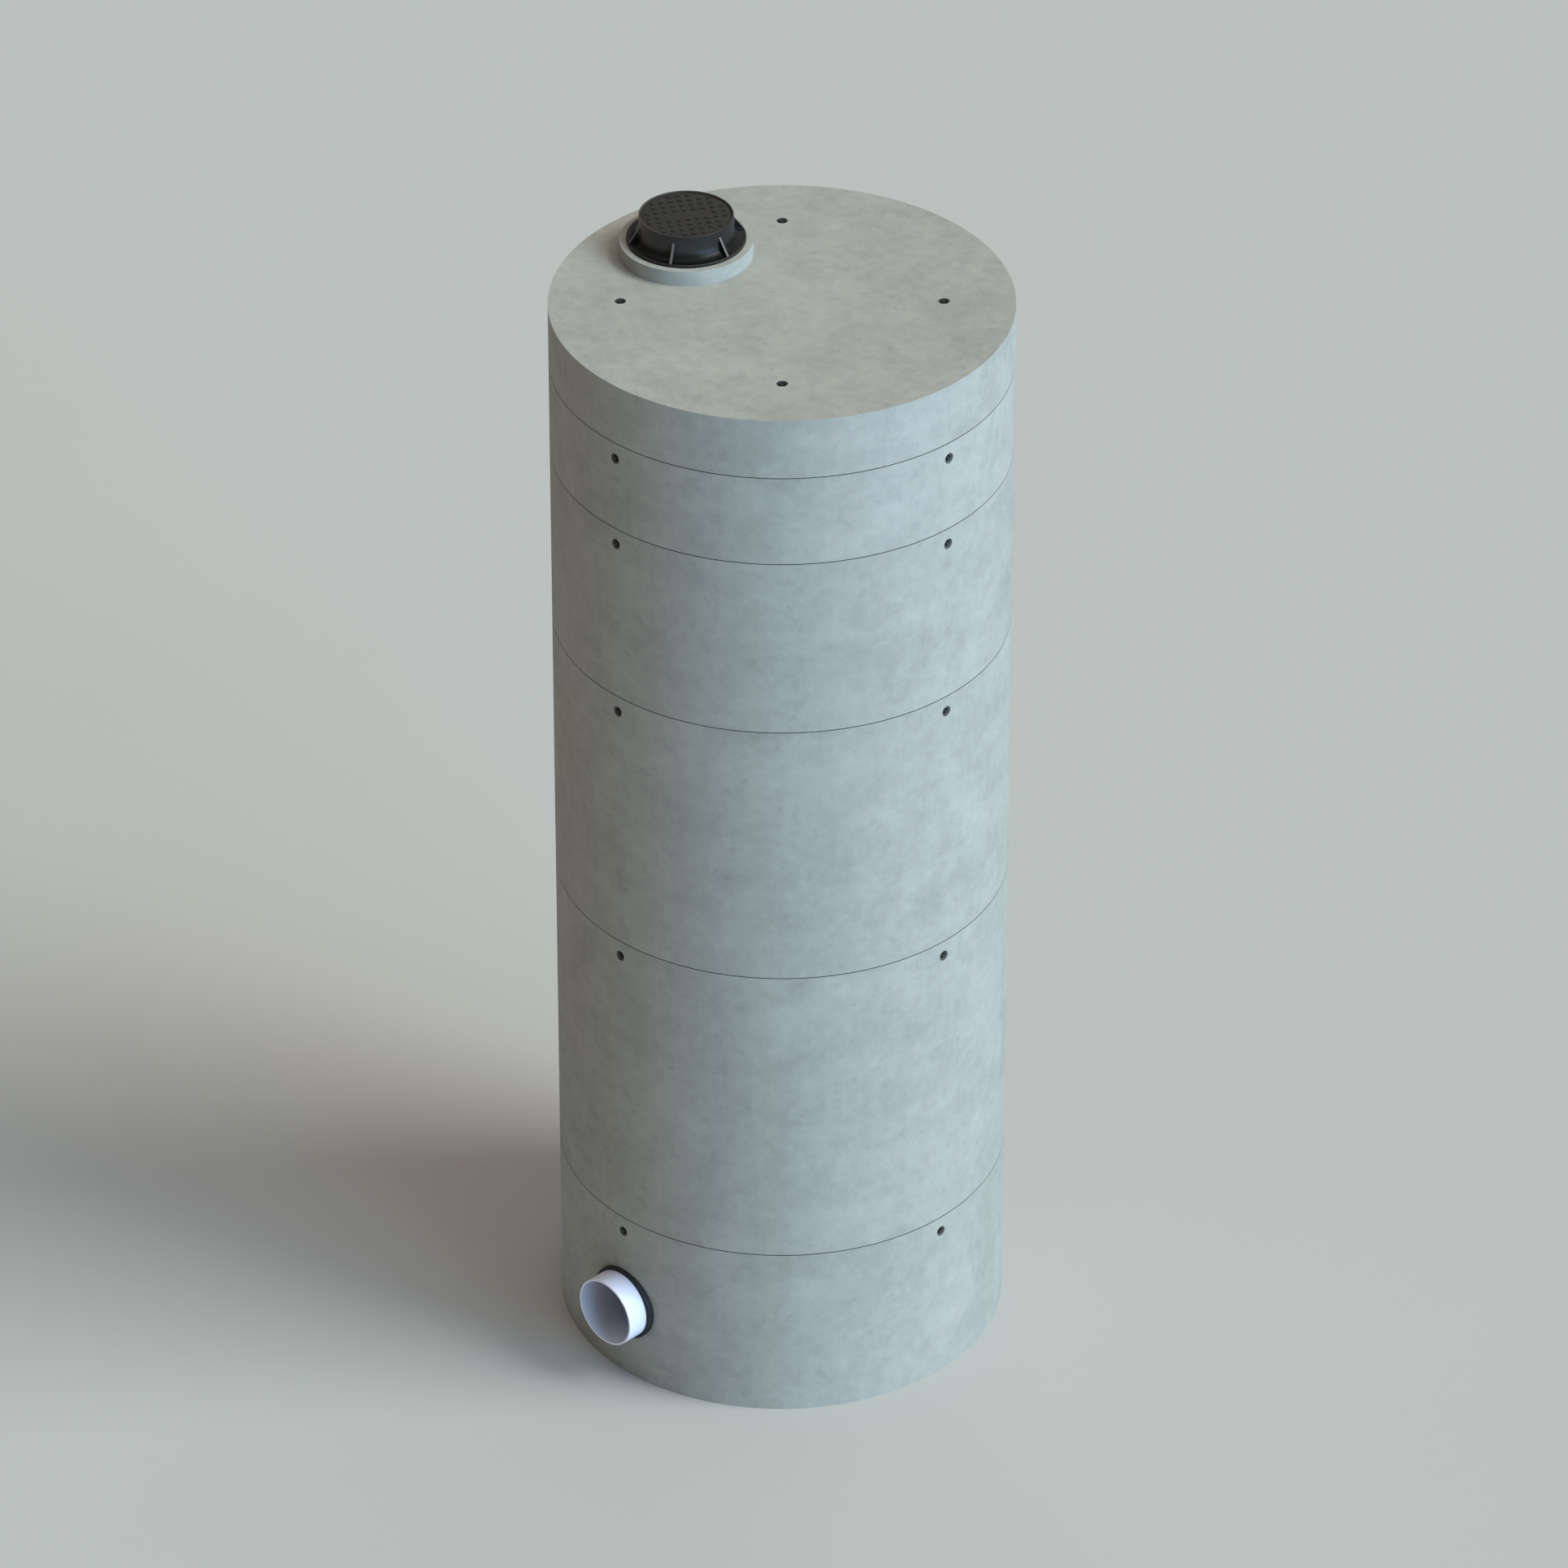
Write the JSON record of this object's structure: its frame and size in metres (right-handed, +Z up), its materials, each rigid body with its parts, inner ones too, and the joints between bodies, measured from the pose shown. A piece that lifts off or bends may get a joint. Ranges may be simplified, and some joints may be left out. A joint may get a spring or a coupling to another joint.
{
  "type": "precast concrete manhole",
  "caption": "Round concrete manhole in stacked sections, with a flat top slab, cast-iron frame and cover set off centre, pipe stub at the base and lifting anchors in recesses.",
  "frame": {"origin": "on the chamber's axis at the underside of the base, where it meets the ground", "axes": "+Z up along the chamber's axis, -Y along the outlet pipe, -X towards the access opening"},
  "size_m": [2.896, 3.068, 7.714],
  "materials": {
    "concrete": "form-cast grey concrete, matt, faintly mottled",
    "cast_iron": "dipped black, satin",
    "pvc": "smooth white",
    "rubber": "matt black",
    "anchor_steel": "forged, dull"
  },
  "bodies": {
    "root": {"base": "concrete", "riser_1": "concrete", "riser_2": "concrete", "riser_3": "concrete", "riser_4": "concrete", "top_slab": "concrete", "grade_ring": "concrete", "cover_frame": "cast_iron", "cover": "cast_iron", "outlet_pipe": "pvc", "pipe_boot": "rubber", "base_anchors": "anchor_steel", "riser_1_anchors": "anchor_steel", "riser_2_anchors": "anchor_steel", "riser_3_anchors": "anchor_steel", "riser_4_anchors": "anchor_steel", "slab_anchors": "anchor_steel"}
  },
  "joints": []
}
